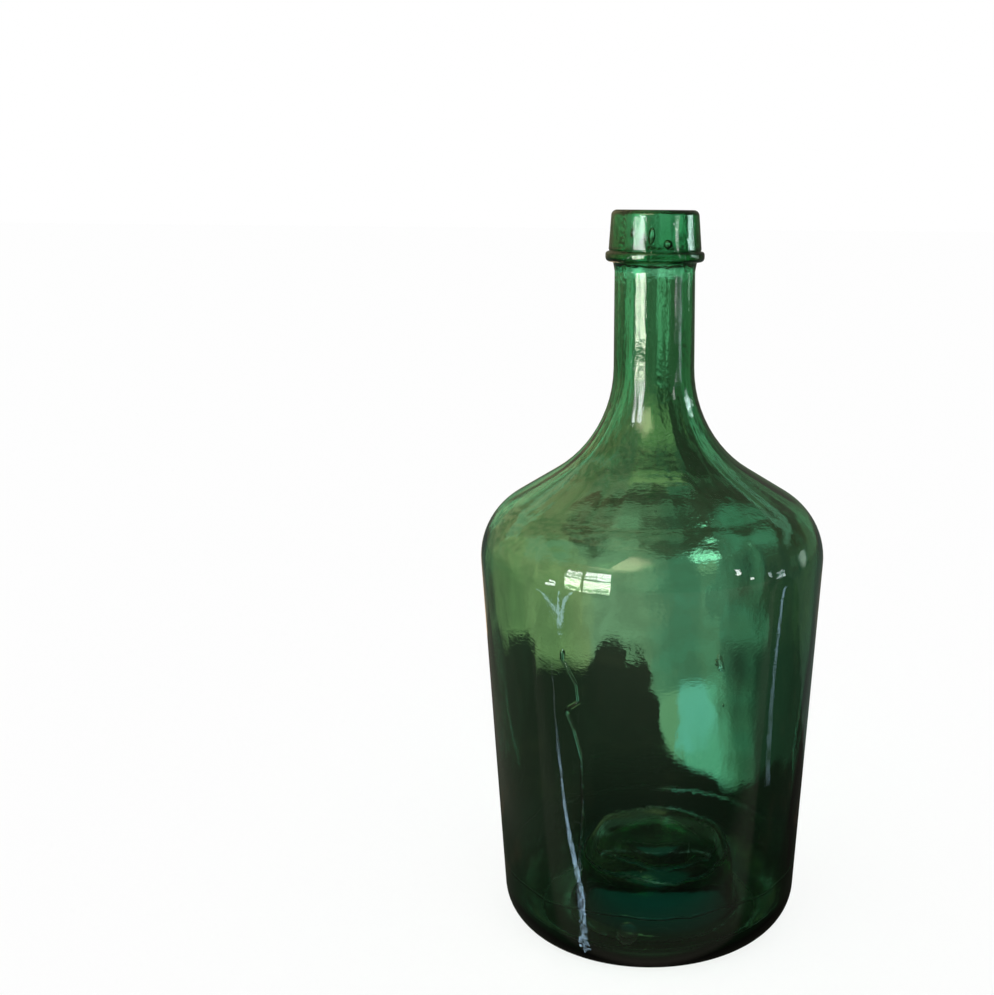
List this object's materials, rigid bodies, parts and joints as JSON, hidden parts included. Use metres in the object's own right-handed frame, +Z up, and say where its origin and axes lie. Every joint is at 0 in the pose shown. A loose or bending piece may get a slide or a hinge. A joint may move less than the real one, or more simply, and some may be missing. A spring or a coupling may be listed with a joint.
{
  "type": "demijohn",
  "caption": "Uncorked green glass demijohn: tapered round body on a domed push-up, sloping shoulder, long narrow neck, tapered lip collar over a bead string ring.",
  "frame": {"origin": "centre of the circle that the demijohn stands on, in the plane of the table", "axes": "+Z up along the bottle's axis; +X and +Y are any two directions at right angles to it, since the bottle is round"},
  "size_m": [0.1838, 0.1838, 0.39],
  "materials": {
    "body_glass": "clear green bottle glass, hand-blown: glossy, with faint upright waves, seeds and small blisters, darker where the wall is thick at the heel and the push-up",
    "lip_glass": "the same green glass, fire-polished, with small bubbles caught in it",
    "ring_glass": "the same green glass, fire-polished, a little uneven where it was laid on"
  },
  "bodies": {
    "root": {"vessel": "body_glass", "lip_collar": "lip_glass", "string_ring": "ring_glass"}
  },
  "joints": []
}
